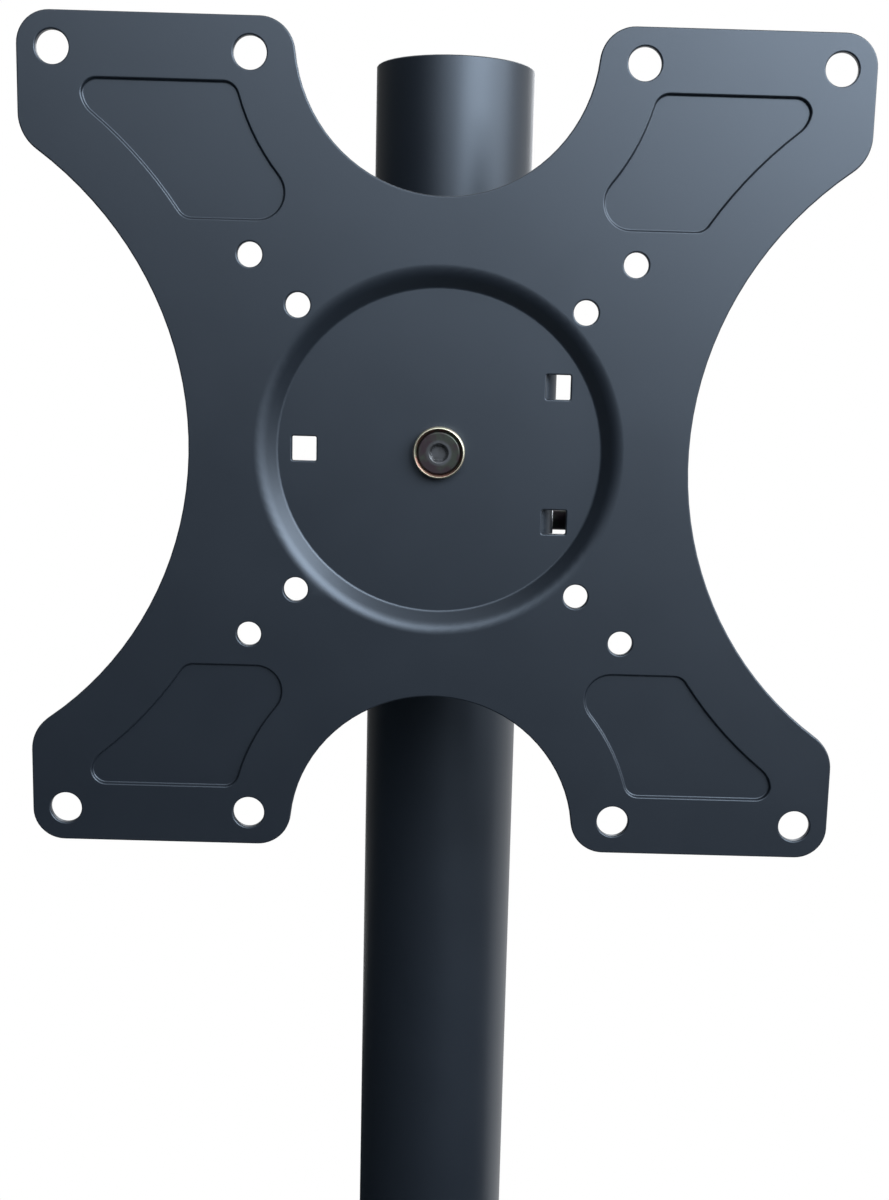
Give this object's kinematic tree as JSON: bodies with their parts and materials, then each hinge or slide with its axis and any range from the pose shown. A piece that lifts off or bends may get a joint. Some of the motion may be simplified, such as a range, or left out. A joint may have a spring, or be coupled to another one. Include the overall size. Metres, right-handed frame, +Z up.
{
  "type": "tv stand with mount",
  "caption": "Floor stand for a flat screen: flat base, upright pole, and a pressed X-shaped mounting plate that slides, swivels, tilts and turns.",
  "frame": {"origin": "On the floor under the pole's axis, in the middle of the base plate. All four rubber feet stand on z = 0.", "axes": "+Z runs up the pole, +X to the right as seen from the front, and -Y to the front, where the screen hangs."},
  "size_m": [0.45, 0.4, 1.214],
  "materials": {
    "powder_coat": "satin dark blue-grey powder coat",
    "black_plastic": "matt black, lightly grained",
    "rubber": "matt black",
    "zinc": "bright zinc plated",
    "yellow_zinc": "yellow passivated zinc plate on steel",
    "black_steel": "black oxide",
    "nylon": "natural white nylon"
  },
  "bodies": {
    "stand": {"base_plate": "powder_coat", "base_feet": "rubber", "foot_screws": "zinc", "foot_flange": "powder_coat", "flange_bolts": "zinc", "flange_washers": "zinc", "foot_cover": "black_plastic", "pole": "powder_coat", "pole_screws": "zinc", "pole_cap": "black_plastic"},
    "carriage": {"stop_collar": "powder_coat", "collar_screw": "zinc", "collar_nut": "zinc", "thrust_ring": "black_plastic"},
    "swivel": {"swivel_sleeve": "powder_coat", "upper_liner": "black_plastic", "lower_liner": "black_plastic", "pivot_spacer": "zinc", "lock_nut": "zinc"},
    "clamp_pad": {"pressure_pad": "nylon"},
    "clamp_knob": {"sleeve_knob": "black_plastic", "sleeve_stud": "zinc"},
    "tilt_head": {"tilt_bracket": "powder_coat", "pivot_bolt": "zinc", "pivot_washer": "zinc", "pivot_nut": "zinc", "tilt_friction_washers": "nylon", "centre_bush": "yellow_zinc", "plate_bolt": "black_steel", "plate_washer": "zinc", "spring_washers": "zinc", "plate_nut": "zinc"},
    "lock_washer": {"tilt_knob_washer": "zinc"},
    "lock_knob": {"tilt_knob": "black_plastic", "tilt_stud": "black_steel"},
    "screen_plate": {"vesa_plate": "powder_coat", "friction_disc": "nylon"}
  },
  "joints": [
    {"name": "height", "type": "slide", "parent": "stand", "child": "carriage", "axis": [0, 0, 1], "range_m": [-0.6, 0.08]},
    {"name": "swivel", "type": "hinge", "parent": "carriage", "child": "swivel", "pos_m": [0, 0, 1.1], "axis": [0, 0, 1], "continuous": true},
    {"name": "clamp_travel", "type": "slide", "parent": "swivel", "child": "clamp_pad", "axis": [0, 1, 0], "range_m": [0, 0.00125]},
    {"name": "clamp_turn", "type": "hinge", "parent": "clamp_pad", "child": "clamp_knob", "pos_m": [0, 0.055, 1.0925], "axis": [0, 1, 0], "range_deg": [0, 360]},
    {"name": "tilt", "type": "hinge", "parent": "swivel", "child": "tilt_head", "pos_m": [0, -0.046, 1.1], "axis": [1, 0, 0], "range_deg": [-15, 15]},
    {"name": "lock_travel", "type": "slide", "parent": "swivel", "child": "lock_washer", "axis": [1, 0, 0], "range_m": [0, 0.0008]},
    {"name": "lock_turn", "type": "hinge", "parent": "lock_washer", "child": "lock_knob", "pos_m": [0.04, -0.046, 1.0775], "axis": [1, 0, 0], "range_deg": [0, 360]},
    {"name": "plate_turn", "type": "hinge", "parent": "tilt_head", "child": "screen_plate", "pos_m": [0, -0.084, 1.1], "axis": [0, 1, 0], "continuous": true}
  ],
  "couplings": [
    {"joint": "clamp_travel", "follows": "clamp_turn", "m_per_rad": 0.00019894},
    {"joint": "lock_travel", "follows": "lock_turn", "m_per_rad": 0.00012732}
  ]
}
